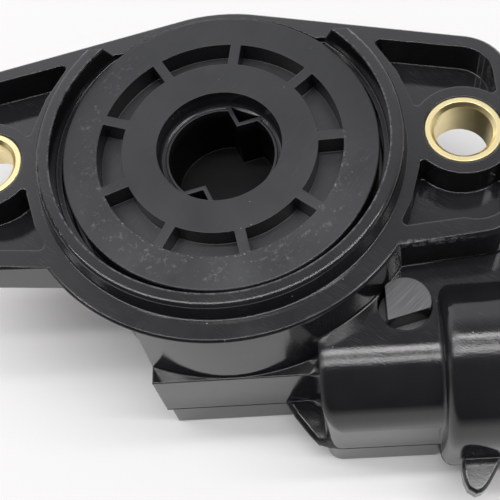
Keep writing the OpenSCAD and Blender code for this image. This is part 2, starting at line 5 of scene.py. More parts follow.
import bmesh
import bpy
from bpy.props import FloatProperty, FloatVectorProperty, PointerProperty
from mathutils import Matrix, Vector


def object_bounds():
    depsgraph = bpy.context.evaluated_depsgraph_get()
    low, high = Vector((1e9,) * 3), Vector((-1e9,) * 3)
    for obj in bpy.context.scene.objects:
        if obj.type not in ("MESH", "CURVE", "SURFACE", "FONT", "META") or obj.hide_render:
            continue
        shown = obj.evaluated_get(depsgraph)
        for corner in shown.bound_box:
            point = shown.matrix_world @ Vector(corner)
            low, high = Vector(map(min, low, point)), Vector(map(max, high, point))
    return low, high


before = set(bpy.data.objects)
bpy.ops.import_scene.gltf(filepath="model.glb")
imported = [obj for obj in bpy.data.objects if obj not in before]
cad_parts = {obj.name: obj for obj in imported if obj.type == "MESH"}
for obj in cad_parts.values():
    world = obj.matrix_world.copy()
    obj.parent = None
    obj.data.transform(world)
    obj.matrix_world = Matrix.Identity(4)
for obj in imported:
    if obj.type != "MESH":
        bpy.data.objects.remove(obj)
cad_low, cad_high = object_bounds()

bl_info = {
    "name": "Throttle Position Sensor",
    "version": (1, 0, 0),
    "blender": (4, 5, 0),
    "location": "3D View > Sidebar > Sensor",
    "description": "Finishes and a studio for a throttle position sensor",
    "category": "Object",
}

MM = 0.001

# Bands on the part: lowest, highest and how far both ends fade, in millimetres in the part's own frame
NECK_LEFT_X = (7.5, 8.8, 0.5)
SHELL_INNER_X = (18.7, 20.2, 0.4)
NECK_TOP_Z = (-4.6, -4.2, 0.05)
SEAM_Z = (-16.3, -15.9, 0.05)
EAR_EDGE_Y = (-12.0, -11.1, 0.25)
EAR_EDGE_Z = (-0.7, 0.3, 0.1)
COLLAR_LIP_RADIUS = (15.6, 15.85, 0.1)
COLLAR_LIP_Z = (1.75, 2.2, 0.1)
WINDOW_RADIUS = (9.0, 11.7, 0.1)
WINDOW_FLOOR_Z = (-2.0, -1.3, 0.1)
CRUMB_RADIUS = (11.55, 11.75, 0.08)
NEAR_SCUFF_RADIUS = (12.2, 13.6, 0.8)
LEFT_SCUFF_RADIUS = (11.8, 13.8, 0.5)
DISC_RADIUS = (10.0, 15.0, 4.0)

# Ramps on the part: where a mask begins and where it is full, in the same millimetres
SOFT_PART_Y = (-17.0, -18.5)
SOFT_PART_Z = (-16.1, -15.9)
SHOULDER_Y = (-17.0, -18.0)
EAR_START_X = (15.4, 16.4)
EAR_FADE_X = (28.0, 18.0)
POCKET_Z = (-1.0, -3.0)
SOCKET_Z = (-1.6, -3.0)
SOCKET_RADIUS = (5.6, 5.3)
CRUMB_Y = (2.0, -4.0)
NEAR_SCUFF_Y = (1.0, -7.0)
LEFT_SCUFF_X = (-6.0, -10.0)
NEAR_HALF_Y = (1.0, -12.0)

# Ramps of how far a face looks up: 1 on a flat top, 0 on a wall
TOP_RISE = (0.93, 0.985)
SHOULDER_START_RISE = (0.6, 0.8)
SHOULDER_END_RISE = (0.999, 0.99)

# Ramps of the sky's directions: towards the back, down from the zenith, from right to left, to the horizon
BACK_Y = (0.1, 0.4)
ZENITH_Z = (0.94, 0.78)
RIGHT_TO_LEFT_X = (0.4, -0.1)
HORIZON_Z = (0.45, 0.05)

# Edge radii of the pieces, and how deep their grain and tool marks are
SOFT_RADIUS = 1.1 * MM
PLUG_EDGE = 0.12 * MM
METAL_EDGE = 0.08 * MM
INNER_EDGE = 0.1 * MM
GRAIN_DEPTH = 0.03 * MM
TOOL_MARK_DEPTH = 0.02 * MM

DUST_COLOUR = (0.35, 0.35, 0.36, 1)
SEAM_COLOUR = (0, 0, 0, 1)

# The stage, in metres
FLOOR_HALF_SIDE = 1.5
FLOOR_CLEARANCE = 0.02 * MM
FLOOR_FADE = (0.18, 0.5)
CARD_HALF_WIDTH = 0.2
CARD_HALF_HEIGHT = 0.075
CARD_Y = -0.062
CARD_FADE = 0.012
FILL_PLACE = (-0.1, -0.05, 1.0)
FILL_SIDE = 0.9

# Width in millimetres that the camera's focal length belongs to
CAMERA_FRAME_WIDTH = 36.0


def colour_property(name, description, default):
    return FloatVectorProperty(
        name=name, description=description, default=default, subtype="COLOR", size=4, min=0.0, max=1.0
    )


def share_property(name, description, default):
    return FloatProperty(
        name=name, description=description, default=default, subtype="FACTOR", min=0.0, max=1.0
    )


def length_property(name, description, default, low=0.0, high=3.0):
    return FloatProperty(
        name=name, description=description, default=default, unit="LENGTH", min=low, max=high, precision=5
    )


class HousingLook(bpy.types.PropertyGroup):
    """Finish of the moulded housing, its rear cover and the plug in its neck"""

    colour: colour_property("Colour", "Colour of the housing's plastic", (0.0125, 0.0121, 0.0134, 1))
    satin: share_property("Satin roughness", "Roughness of the faces that look up", 0.15)
    gloss: share_property("Gloss roughness", "Roughness of the walls", 0.09)
    edge: length_property("Edge radius", "Radius of the moulded edges", 0.22 * MM, 0.0, 1 * MM)
    plug_colour: colour_property("Plug colour", "Colour of the plug's brushed top", (0.085, 0.084, 0.09, 1))


class RotorLook(bpy.types.PropertyGroup):
    """Finish of the turning drive rotor"""

    colour: colour_property("Colour", "Colour of the rotor's plastic", (0.014, 0.0144, 0.0158, 1))
    satin: share_property("Satin roughness", "Roughness of the disc's top", 0.4)
    edge: length_property("Edge radius", "Radius of the rotor's edges", 0.15 * MM, 0.0, 1 * MM)


class MetalLook(bpy.types.PropertyGroup):
    """Finish of the bushes, terminals, clips, wipers and spring"""

    brass: colour_property("Brass", "Colour of the bushes", (0.95, 0.79, 0.43, 1))
    steel: colour_property("Steel", "Colour of the spring and the retaining ring", (0.48, 0.48, 0.5, 1))
    alloy: colour_property("Contact alloy", "Colour of the wipers and clips", (0.8, 0.58, 0.32, 1))
    tin: colour_property("Tin", "Colour of the tinned terminals", (0.66, 0.65, 0.62, 1))


class InsideLook(bpy.types.PropertyGroup):
    """Finish of the board, its films, the seals and the small plastic parts inside"""

    ceramic: colour_property("Ceramic", "Colour of the element board", (0.72, 0.7, 0.64, 1))
    carbon: colour_property("Carbon film", "Colour of the printed films", (0.018, 0.018, 0.02, 1))
    silver: colour_property("Silver print", "Colour of the printed traces", (0.62, 0.62, 0.6, 1))
    rubber: colour_property("Rubber", "Colour of the seals", (0.03, 0.028, 0.028, 1))
    natural: colour_property(
        "Natural plastic", "Colour of the carrier and the washer", (0.62, 0.57, 0.46, 1)
    )


class StudioSettings(bpy.types.PropertyGroup):
    """Lamps, floor and camera"""

    lamp_height: length_property("Lamp height", "Height of the two strip lamps over the part", 0.6)
    lamp_gap: length_property("Lamp gap", "Distance between the strip lamps' centre lines", 0.16)
    lamp_width: length_property("Lamp width", "Width of each strip lamp", 0.045)
    lamp_length: length_property("Lamp length", "Length of each strip lamp", 1.1)
    lamp_power: FloatProperty(
        name="Lamp power", description="Power of each strip lamp", default=2.2, unit="POWER", min=0.0
    )
    fill_power: FloatProperty(
        name="Fill power", description="Power of the wide soft lamp", default=1.6, unit="POWER", min=0.0
    )
    floor_colour: colour_property("Floor colour", "Colour of the pale floor", (0.825, 0.815, 0.82, 1))
    camera_place: FloatVectorProperty(
        name="Camera place", description="Where the camera stands", subtype="TRANSLATION", unit="LENGTH",
        default=(9.55238 * MM, -49.14727 * MM, 75.9265 * MM), precision=5,
    )
    camera_turn: FloatVectorProperty(
        name="Camera turn", description="How the camera is turned", subtype="EULER", unit="ROTATION",
        default=(math.radians(26.5011), math.radians(5.8927), math.radians(-1.3433)),
    )
    camera_lens: FloatProperty(
        name="Focal length", description="Focal length on a frame 36 mm wide", default=69.743,
        unit="CAMERA", min=10.0,
    )


class Tree:
    """Adds nodes to a node tree and joins them by their sockets."""

    def __init__(self, tree):
        self.nodes = tree.nodes
        self.links = tree.links

    def add(self, kind, inputs=None, **settings):
        node = self.nodes.new(kind)
        for name, value in settings.items():
            setattr(node, name, value)
        for name, value in (inputs or {}).items():
            self.feed(node.inputs[name], value)
        return node

    def feed(self, socket, value):
        if isinstance(value, bpy.types.NodeSocket):
            self.links.new(value, socket)
        else:
            socket.default_value = value

    def maths(self, operation, a, b=0.0, clamp=False):
        node = self.add("ShaderNodeMath", {0: a, 1: b}, operation=operation, use_clamp=clamp)
        return node.outputs[0]

    def remap(self, value, low, high, out_low=0.0, out_high=1.0):
        sockets = {"Value": value, "From Min": low, "From Max": high, "To Min": out_low, "To Max": out_high}
        return self.add("ShaderNodeMapRange", sockets, clamp=True).outputs["Result"]

    def mix(self, share, a, b):
        """Colour a turning into colour b as share goes from 0 to 1."""
        node = self.add("ShaderNodeMix", {0: share, 6: a, 7: b}, data_type="RGBA")
        return node.outputs[2]

    def noise(self, vector, scale, detail=2.0, roughness=0.5):
        sockets = {"Vector": vector, "Scale": scale, "Detail": detail, "Roughness": roughness}
        return self.add("ShaderNodeTexNoise", sockets).outputs["Fac"]

    def place(self, turn=(0, 0, 0), scale=(1, 1, 1)):
        """Coordinates in the piece's own space, turned and then stretched."""
        space = self.add("ShaderNodeTexCoord").outputs["Object"]
        turned = self.add("ShaderNodeMapping", {"Vector": space, "Rotation": turn})
        return self.add("ShaderNodeMapping", {"Vector": turned.outputs[0], "Scale": scale}).outputs[0]

    def band(self, value, low, high, soft):
        """1 where the value lies between low and high, falling to 0 over soft on both sides."""
        rise = self.remap(value, low - soft, low)
        return self.maths("MULTIPLY", rise, self.remap(value, high, high + soft, 1.0, 0.0))

    def every(self, first, *others):
        """Product of several masks."""
        for other in others:
            first = self.maths("MULTIPLY", first, other)
        return first

    def group(self, tree, **values):
        node = self.add("ShaderNodeGroup", node_tree=tree)
        for name, value in values.items():
            self.feed(node.inputs[name.replace("_", " ").capitalize()], value)
        return node.outputs


def new_group(name, inputs, outputs):
    """An empty shader node group with float inputs and the named outputs."""
    tree = bpy.data.node_groups.new(name, "ShaderNodeTree")
    for socket, default in inputs.items():
        made = tree.interface.new_socket(socket, in_out="INPUT", socket_type="NodeSocketFloat")
        made.default_value = default
    for socket, kind in outputs.items():
        tree.interface.new_socket(socket, in_out="OUTPUT", socket_type=kind)
    build = Tree(tree)
    return tree, build, build.add("NodeGroupInput").outputs, build.add("NodeGroupOutput").inputs


def rounded_edges_group():
    """Rounds sharp edges in the shading, and masks where they are."""
    tree, build, given, out = new_group(
        "Rounded Edges", {"Radius": 0.2 * MM}, {"Normal": "NodeSocketVector", "Edge": "NodeSocketFloat"}
    )
    bevel = build.add("ShaderNodeBevel", {"Radius": given["Radius"]}, samples=8)
    true = build.add("ShaderNodeNewGeometry").outputs["Normal"]
    facing = build.add("ShaderNodeVectorMath", {0: bevel.outputs[0], 1: true}, operation="DOT_PRODUCT")
    build.feed(out["Normal"], bevel.outputs[0])
    build.feed(out["Edge"], build.remap(facing.outputs["Value"], 0.97, 0.8))
    return tree


def grain_group():
    """Fine grain of a moulded skin, with slow changes of tone."""
    tree, build, given, out = new_group(
        "Moulded Grain", {"Size": 0.15 * MM, "Patch size": 6 * MM},
        {"Height": "NodeSocketFloat", "Tone": "NodeSocketFloat"},
    )
    space = build.place()
    fine = build.noise(space, build.maths("DIVIDE", 1.0, given["Size"]), 3.0, 0.6)
    slow = build.noise(space, build.maths("DIVIDE", 1.0, given["Patch size"]), 3.0, 0.55)
    build.feed(out["Height"], fine)
    build.feed(out["Tone"], build.remap(slow, 0.3, 0.7))
    return tree


def scratches_group():
    """Thin straight scratches at an angle, gathered in patches."""
    tree, build, given, out = new_group(
        "Scratches",
        {"Angle": 0.0, "Width": 0.08 * MM, "Length": 3 * MM, "Cover": 0.4, "Patch size": 5 * MM},
        {"Mask": "NodeSocketFloat"},
    )
    turn = build.add("ShaderNodeCombineXYZ", {"Z": given["Angle"]}).outputs[0]
    space = build.add("ShaderNodeTexCoord").outputs["Object"]
    turned = build.add("ShaderNodeMapping", {"Vector": space, "Rotation": turn}).outputs[0]
    across = build.maths("DIVIDE", 1.0, given["Width"])
    along = build.maths("DIVIDE", 1.0, given["Length"])
    stretch = build.add("ShaderNodeCombineXYZ", {"X": along, "Y": across, "Z": along}).outputs[0]
    drawn_out = build.add("ShaderNodeVectorMath", {0: turned, 1: stretch}, operation="MULTIPLY")
    lines = build.noise(drawn_out.outputs[0], 1.0, 1.0)
    patches = build.noise(space, build.maths("DIVIDE", 1.0, given["Patch size"]), 2.0)
    bare = build.maths("SUBTRACT", 1.0, given["Cover"])
    lined = build.remap(lines, 0.6, 0.72)
    covered = build.remap(build.maths("SUBTRACT", patches, build.maths("MULTIPLY", bare, 0.7)), 0.0, 0.15)
    build.feed(out["Mask"], build.maths("MULTIPLY", lined, covered))
    return tree


def dust_group():
    """Pale specks of dust and plastic crumbs."""
    tree, build, given, out = new_group(
        "Dust Specks", {"Spacing": 1.2 * MM, "Speck size": 0.1, "Cover": 0.3}, {"Mask": "NodeSocketFloat"}
    )
    space = build.place()
    scale = build.maths("DIVIDE", 1.0, given["Spacing"])
    cells = build.add("ShaderNodeTexVoronoi", {"Vector": space, "Scale": scale, "Randomness": 1.0})
    near = build.maths("LESS_THAN", cells.outputs["Distance"], given["Speck size"])
    pick = build.add("ShaderNodeSeparateColor", {"Color": cells.outputs["Color"]}).outputs["Red"]
    build.feed(out["Mask"], build.maths("MULTIPLY", near, build.maths("LESS_THAN", pick, given["Cover"])))
    return tree


def facing_up_group():
    """Masks the faces that look towards the mounting side, and says how far each face looks up."""
    outputs = {"Mask": "NodeSocketFloat", "Rise": "NodeSocketFloat"}
    start, full = TOP_RISE
    tree, build, given, out = new_group("Facing Up", {"From": start, "Full": full}, outputs)
    normal = build.add("ShaderNodeTexCoord").outputs["Normal"]
    up = build.add("ShaderNodeSeparateXYZ", {"Vector": normal}).outputs["Z"]
    build.feed(out["Mask"], build.remap(up, given["From"], given["Full"]))
    build.feed(out["Rise"], up)
    return tree


def place_group():
    """Place on the part along each axis and out from the rotor's axis, in millimetres."""
    names = ("X", "Y", "Z", "Radius")
    tree, build, _, out = new_group("Part Place", {}, {name: "NodeSocketFloat" for name in names})
    space = build.add("ShaderNodeTexCoord").outputs["Object"]
    scale = build.add("ShaderNodeVectorMath", {0: space, "Scale": 1 / MM}, operation="SCALE").outputs[0]
    axes = build.add("ShaderNodeSeparateXYZ", {"Vector": scale}).outputs
    for name in names[:3]:
        build.feed(out[name], axes[name])
    squares = [build.maths("MULTIPLY", axes[name], axes[name]) for name in names[:2]]
    build.feed(out["Radius"], build.maths("SQRT", build.maths("ADD", *squares)))
    return tree


class Finishes:
    """Node groups that several materials share, built once."""

    groups = {}
    makers = {
        "edges": rounded_edges_group, "grain": grain_group, "scratches": scratches_group,
        "dust": dust_group, "up": facing_up_group, "place": place_group,
    }

    @classmethod
    def get(cls, name):
        if name not in cls.groups:
            cls.groups[name] = cls.makers[name]()
        return cls.groups[name]


def new_material(name, **constants):
    """A material with a Principled shader whose constant sockets are set by name."""
    material = bpy.data.materials.new(name)
    material.use_nodes = True
    material.node_tree.nodes.clear()
    build = Tree(material.node_tree)
    shader = build.add("ShaderNodeBsdfPrincipled")
    build.add("ShaderNodeOutputMaterial", {"Surface": shader.outputs[0]})
    for socket, value in constants.items():
        shader.inputs[socket.replace("_", " ")].default_value = value
    return material, build, shader.inputs


def bumped(build, height, strength, distance, normal):
    sockets = {"Height": height, "Strength": strength, "Distance": distance, "Normal": normal}
    return build.add("ShaderNodeBump", sockets).outputs[0]


def scaled(colour, factor):
    return tuple(min(1.0, channel * factor) for channel in colour[:3]) + (1.0,)


def soft_radius(build, place, edge):
    """The neck's left edge and the shell's inner end are rounded far more than the other edges."""
    neck, shell = build.band(place["X"], *NECK_LEFT_X), build.band(place["X"], *SHELL_INNER_X)
    ends = build.maths("MAXIMUM", neck, shell)
    part = build.every(ends, build.remap(place["Y"], *SOFT_PART_Y), build.remap(place["Z"], *SOFT_PART_Z))
    return build.remap(part, 0.0, 1.0, edge, SOFT_RADIUS)


def edge_wear_and_highlight(build, place):
    """Ragged pale wear with a painted highlight on the ear's near edge, and fainter pale wear on the
    collar's inner edge.
    """
    ragged = build.remap(build.noise(build.place(), 1800.0, 4.0, 0.75), 0.44, 0.6)
    ear = build.every(
        build.band(place["Y"], *EAR_EDGE_Y), build.band(place["Z"], *EAR_EDGE_Z),
        build.remap(place["X"], *EAR_START_X), build.remap(place["X"], *EAR_FADE_X),
    )
    lip = build.every(
        build.band(place["Radius"], *COLLAR_LIP_RADIUS), build.band(place["Z"], *COLLAR_LIP_Z)
    )
    faint_lip = build.maths("MULTIPLY", lip, 0.6)
    return build.maths("MULTIPLY", build.maths("MAXIMUM", ear, faint_lip), ragged)


def shoulder_grain(build, place, rise, height):
    """Grain that is deepest on the connector's rounded shoulders, where it breaks up the lamps' lines."""
    shoulder = build.every(
        build.remap(rise, *SHOULDER_START_RISE), build.remap(rise, *SHOULDER_END_RISE), 0.3
    )
    depth = build.maths("ADD", build.every(shoulder, build.remap(place["Y"], *SHOULDER_Y)), 0.1)
    return build.maths("MULTIPLY", build.maths("SUBTRACT", height, 0.5), depth)


def moulded_plastic(name, colour, satin, gloss, edge, dusty, mirror):
    """Black moulded plastic: satin with a painted sheen where it looks up, glossy on its walls, with a
    painted highlight and pale wear along its edges.
    """
    material, build, shader = new_material(name, IOR=1.55, Specular_IOR_Level=mirror)
    place = build.group(Finishes.get("place"))
    edges = build.group(Finishes.get("edges"), radius=soft_radius(build, place, edge))
    grain = build.group(Finishes.get("grain"), size=0.16 * MM, patch_size=5 * MM)
    facing = build.group(Finishes.get("up"))
    up = facing["Mask"]
    scratches = build.group(
        Finishes.get("scratches"), angle=0.6, width=0.05 * MM, length=1.6 * MM, cover=0.35,
        patch_size=4 * MM,
    )["Mask"]
    dust = build.group(Finishes.get("dust"), spacing=1.5 * MM, speck_size=0.045, cover=dusty)["Mask"]
    dark_patch, pale_patch, top = scaled(colour, 0.85), scaled(colour, 1.25), scaled(colour, 1.5)
    scratch_line, edge_highlight, bare = scaled(colour, 7.0), scaled(colour, 6.0), scaled(colour, 11.0)
    tone = build.mix(grain["Tone"], dark_patch, pale_patch)
    # Painted sheen: the faces that look up are painted lighter than the walls
    skin = build.mix(build.maths("MULTIPLY", up, 0.3), tone, top)
    scratched = build.mix(build.every(scratches, up, 0.35), skin, scratch_line)
    # Painted highlight: every edge is painted pale, which also stands for pale wear
    edge_highlighted = build.mix(build.maths("MULTIPLY", edges["Edge"], 0.2), scratched, edge_highlight)
    # The ear's near edge is painted pale as wear and as a painted highlight; the collar's inner lip is
    # painted pale as wear
    worn_and_edge_lit = build.mix(edge_wear_and_highlight(build, place), edge_highlighted, bare)
    dusted = build.mix(build.maths("MULTIPLY", dust, 0.6), worn_and_edge_lit, DUST_COLOUR)
    # The seam between the housing and its cover is black and mirrors nothing
    seam = build.band(place["Z"], *SEAM_Z)
    build.feed(shader["Base Color"], build.mix(seam, dusted, SEAM_COLOUR))
    build.feed(shader["Metallic"], seam)
    # The pockets' floors and the ledge are as glossy as the walls, and the neck's top nearly so
    sunk = build.remap(place["Z"], *POCKET_Z)
    neck_top = build.maths("MULTIPLY", build.band(place["Z"], *NECK_TOP_Z), 0.5)
    satin_share = build.every(up, build.maths("SUBTRACT", 1.0, build.maths("SUBTRACT", sunk, neck_top)))
    satin_walls = build.remap(satin_share, 0.0, 1.0, gloss, satin)
    uneven = build.remap(grain["Tone"], 0.0, 1.0, -0.03, 0.05)
    skin_roughness = build.maths("ADD", satin_walls, uneven)
    build.feed(shader["Roughness"], build.maths("ADD", skin_roughness, seam, clamp=True))
    height = shoulder_grain(build, place, facing["Rise"], grain["Height"])
    build.feed(shader["Normal"], bumped(build, height, 1.0, GRAIN_DEPTH, edges["Normal"]))
    return material


def disc_marks(build, place):
    """Crumbs along the windows' outer edge, and scuffs on the disc's near and left sides."""
    crumbs = build.remap(build.noise(build.place(), 3600.0, 3.0, 0.7), 0.55, 0.68)
    scuffs = build.remap(build.noise(build.place(), 1500.0, 6.0, 0.8), 0.56, 0.7)
    radius = place["Radius"]
    rim = build.every(build.band(radius, *CRUMB_RADIUS), build.remap(place["Y"], *CRUMB_Y), crumbs)
    near = build.every(
        build.band(radius, *NEAR_SCUFF_RADIUS), build.remap(place["Y"], *NEAR_SCUFF_Y), scuffs, 0.7
    )
    left = build.every(
        build.band(radius, *LEFT_SCUFF_RADIUS), build.remap(place["X"], *LEFT_SCUFF_X), scuffs, 0.45
    )
    return build.maths("MAXIMUM", rim, build.maths("MAXIMUM", near, left))


def rotor_plastic(name, colour, satin, edge):
    """Satin plastic of the rotor, with scratches, pale specks, a painted sheen on the disc's near side,
    painted highlights on its edges and painted shade in its socket.
    """
    material, build, shader = new_material(name, IOR=1.55, Specular_IOR_Level=0.4)
    edges = build.group(Finishes.get("edges"), radius=edge)
    grain = build.group(Finishes.get("grain"), size=0.12 * MM, patch_size=7 * MM)
    up = build.group(Finishes.get("up"))["Mask"]
    place = build.group(Finishes.get("place"))
    radius = place["Radius"]
    scratches = build.group(
        Finishes.get("scratches"), angle=-0.9, width=0.04 * MM, length=2.5 * MM, cover=0.4,
        patch_size=5 * MM,
    )["Mask"]
    window_lines = build.group(
        Finishes.get("scratches"), angle=-0.8, width=0.07 * MM, length=1.2 * MM, cover=1.0,
        patch_size=2 * MM,
    )["Mask"]
    dust = build.group(Finishes.get("dust"), spacing=0.9 * MM, speck_size=0.06, cover=0.16)["Mask"]
    specks = build.maths("MAXIMUM", build.maths("MULTIPLY", disc_marks(build, place), up), dust)
    window = build.every(build.band(place["Z"], *WINDOW_FLOOR_Z), build.band(radius, *WINDOW_RADIUS), up)
    deep = build.every(build.remap(place["Z"], *SOCKET_Z), build.remap(radius, *SOCKET_RADIUS))
    dark_patch, pale_patch, painted_near_sheen = scaled(colour, 0.85), scaled(colour, 1.3), scaled(colour, 2.6)
    window_floor, socket = scaled(colour, 1.8), scaled(colour, 0.45)
    scratch_line, edge_highlight = scaled(colour, 5.0), scaled(colour, 4.0)
    tone = build.mix(grain["Tone"], dark_patch, pale_patch)
    # Painted sheen: the disc's near side is painted lighter
    near_sheen_share = build.every(
        build.remap(place["Y"], *NEAR_HALF_Y), build.band(radius, *DISC_RADIUS), grain["Tone"]
    )
    near_sheen = build.mix(near_sheen_share, tone, painted_near_sheen)
    floors = build.mix(window, near_sheen, window_floor)
    lines = build.maths("MAXIMUM", scratches, build.maths("MULTIPLY", window_lines, window))
    scratched = build.mix(build.maths("MULTIPLY", lines, 0.3), floors, scratch_line)
    # Painted highlight: the rotor's edges are painted pale, which also stands for pale wear
    worn_and_edge_lit = build.mix(build.maths("MULTIPLY", edges["Edge"], 0.3), scratched, edge_highlight)
    dusty = build.mix(build.maths("MULTIPLY", specks, 0.5), worn_and_edge_lit, DUST_COLOUR)
    # Painted shade: the socket's depths are painted dark, and they hardly mirror anything
    build.feed(shader["Base Color"], build.mix(deep, dusty, socket))
    build.feed(shader["Metallic"], build.maths("MULTIPLY", deep, 0.7))
    rough = build.remap(build.maths("MAXIMUM", up, deep), 0.0, 1.0, 0.22, satin)
    uneven = build.remap(grain["Tone"], 0.0, 1.0, -0.05, 0.05)
    build.feed(shader["Roughness"], build.maths("ADD", rough, uneven, clamp=True))
    build.feed(shader["Normal"], bumped(build, grain["Height"], 0.1, GRAIN_DEPTH, edges["Normal"]))
    return material


def brushed_plastic(name, colour, edge):
    """Plug plastic whose cut top is brushed along one diagonal."""
    material, build, shader = new_material(name, IOR=1.5)
    diagonal = -0.75
    edges = build.group(Finishes.get("edges"), radius=edge)
    up = build.group(Finishes.get("up"))["Mask"]
    lines = build.group(
        Finishes.get("scratches"), angle=diagonal, width=0.09 * MM, length=3 * MM, cover=1.0,
        patch_size=3 * MM,
    )["Mask"]
    fine = build.noise(build.place((0, 0, diagonal), (300, 9000, 300)), 1.0, 2.0)
    side, hollow, ridge, deep_line = (scaled(colour, factor) for factor in (0.25, 0.75, 1.3, 2.0))
    brushed = build.mix(build.remap(fine, 0.3, 0.7), hollow, ridge)
    lined = build.mix(build.maths("MULTIPLY", lines, 0.5), brushed, deep_line)
    build.feed(shader["Base Color"], build.mix(up, side, lined))
    build.feed(shader["Roughness"], build.remap(up, 0.0, 1.0, 0.2, 0.45))
    build.feed(shader["Normal"], bumped(build, fine, 0.25, GRAIN_DEPTH, edges["Normal"]))
    return material


def metal(name, colour, roughness, stretch=(600, 6000, 600)):
    """Bare or plated metal with slow staining and fine tool marks, finest where stretched most."""
    material, build, shader = new_material(name, Metallic=1.0)
    edges = build.group(Finishes.get("edges"), radius=METAL_EDGE)
    grain = build.group(Finishes.get("grain"), size=0.1 * MM, patch_size=2.5 * MM)
    marks = build.noise(build.place((0, 0, 0.3), stretch), 1.0, 2.0)
    stained = build.mix(grain["Tone"], scaled(colour, 0.86), colour)
    bright_marks = build.maths("MULTIPLY", marks, 0.25)
    build.feed(shader["Base Color"], build.mix(bright_marks, stained, scaled(colour, 1.2)))
    stained_roughness, clean_roughness = roughness + 0.06, roughness - 0.03
    build.feed(shader["Roughness"], build.remap(grain["Tone"], 0.0, 1.0, stained_roughness, clean_roughness))
    build.feed(shader["Normal"], bumped(build, marks, 0.15, TOOL_MARK_DEPTH, edges["Normal"]))
    return material


def plain_skin(name, colour, roughness, grain_size, depth):
    """Rubber, ceramic, print or plain plastic with its own grain."""
    material, build, shader = new_material(name, IOR=1.5)
    edges = build.group(Finishes.get("edges"), radius=INNER_EDGE)
    grain = build.group(Finishes.get("grain"), size=grain_size, patch_size=4 * MM)
    build.feed(shader["Base Color"], build.mix(grain["Tone"], scaled(colour, 0.86), scaled(colour, 1.1)))
    smooth, rough = roughness - 0.06, roughness + 0.06
    build.feed(shader["Roughness"], build.remap(grain["Height"], 0.2, 0.8, smooth, rough))
    build.feed(shader["Normal"], bumped(build, grain["Height"], depth, GRAIN_DEPTH, edges["Normal"]))
    return material


def dress(material, *nodes):
    """Gives CAD nodes a material through their objects' own slots."""
    for name in nodes:
        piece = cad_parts[name]
        if not piece.material_slots:
            raise RuntimeError(f"{name} has no material slot to fill")
        for slot in piece.material_slots:
            slot.link = "OBJECT"
            slot.material = material


class SENSOR_OT_housing(bpy.types.Operator):
    """Give the housing and its rear cover their moulded finish"""

    bl_idname = "sensor.housing"
    bl_label = "Housing and Cover"

    def execute(self, context):
        look = context.scene.sensor_housing
        skin = (look.colour, look.satin, look.gloss, look.edge)
        dress(moulded_plastic("Housing Plastic", *skin, dusty=0.2, mirror=0.5), "housing")
        dress(moulded_plastic("Cover Plastic", *skin, dusty=0.1, mirror=0.75), "rear_cover")
        return {"FINISHED"}


class SENSOR_OT_plug(bpy.types.Operator):
    """Give the plug in the neck its brushed top"""

    bl_idname = "sensor.plug"
    bl_label = "Vent Plug"

    def execute(self, context):
        look = context.scene.sensor_housing
        dress(brushed_plastic("Plug Plastic", look.plug_colour, PLUG_EDGE), "vent_plug")
        return {"FINISHED"}


class SENSOR_OT_rotor(bpy.types.Operator):
    """Give the drive rotor its satin finish"""

    bl_idname = "sensor.rotor"
    bl_label = "Drive Rotor"

    def execute(self, context):
        look = context.scene.sensor_rotor
        dress(rotor_plastic("Rotor Plastic", look.colour, look.satin, look.edge), "rotor")
        return {"FINISHED"}


class SENSOR_OT_metals(bpy.types.Operator):
    """Give the bushes, terminals, clips, wipers, ring and spring their metals"""

    bl_idname = "sensor.metals"
    bl_label = "Metal Parts"

    def execute(self, context):
        look = context.scene.sensor_metal
        dress(metal("Bush Brass", look.brass, 0.3, (200, 200, 9000)), "left_bush", "right_bush")
        dress(metal("Spring Steel", look.steel, 0.28), "return_spring", "retaining_ring")
        clips = [f"board_clip_{i}" for i in (1, 2, 3)]
        dress(metal("Contact Alloy", look.alloy, 0.22), "track_wiper", "collector_wiper", *clips)
        dress(metal("Terminal Tin", look.tin, 0.3), *[f"terminal_{i}" for i in (1, 2, 3)])
        return {"FINISHED"}


class SENSOR_OT_inside(bpy.types.Operator):
    """Give the board, its films, the seals and the plastic parts inside their finishes"""

    bl_idname = "sensor.inside"
    bl_label = "Inner Parts"

    def execute(self, context):
        look = context.scene.sensor_inside
        dress(plain_skin("Board Ceramic", look.ceramic, 0.5, 0.2 * MM, 0.2), "element_board")
        carbon = plain_skin("Carbon Film", look.carbon, 0.55, 0.06 * MM, 0.35)
        dress(carbon, "resistive_track", "collector_track")
        dress(plain_skin("Silver Print", look.silver, 0.4, 0.08 * MM, 0.3), "conductor_traces")
        dress(plain_skin("Seal Rubber", look.rubber, 0.6, 0.1 * MM, 0.3), "dust_seal", "cover_seal")
        natural = plain_skin("Natural Plastic", look.natural, 0.42, 0.2 * MM, 0.15)
        dress(natural, "wiper_carrier", "thrust_washer")
        return {"FINISHED"}


def area_lamp(name, place, size, power, glossy=True):
    """A rectangular lamp that shines straight down."""
    data = bpy.data.lights.new(name, "AREA")
    data.shape = "RECTANGLE"
    data.size, data.size_y = size
    data.energy = power
    lamp = bpy.data.objects.new(name, data)
    lamp.location = place
    lamp.visible_glossy = glossy
    bpy.context.scene.collection.objects.link(lamp)


def sheet(name, half_width, half_length, place, turn, material):
    """A flat rectangular sheet of the stage."""
    mesh = bpy.data.meshes.new(name)
    build = bmesh.new()
    bmesh.ops.create_grid(build, x_segments=4, y_segments=4, size=1.0)
    bmesh.ops.scale(build, vec=(half_width, half_length, 1.0), verts=build.verts)
    build.to_mesh(mesh)
    build.free()
    made = bpy.data.objects.new(name, mesh)
    made.location = place
    made.rotation_euler = turn
    made.data.materials.append(material)
    bpy.context.scene.collection.objects.link(made)
    return made


def shown_directly(build):
    """1 for camera, glossy and transmission rays, 0 for the rays that only carry light."""
    rays = build.add("ShaderNodeLightPath").outputs
    shiny = build.maths("MAXIMUM", rays["Is Glossy Ray"], rays["Is Transmission Ray"])
    return build.maths("MAXIMUM", rays["Is Camera Ray"], shiny)


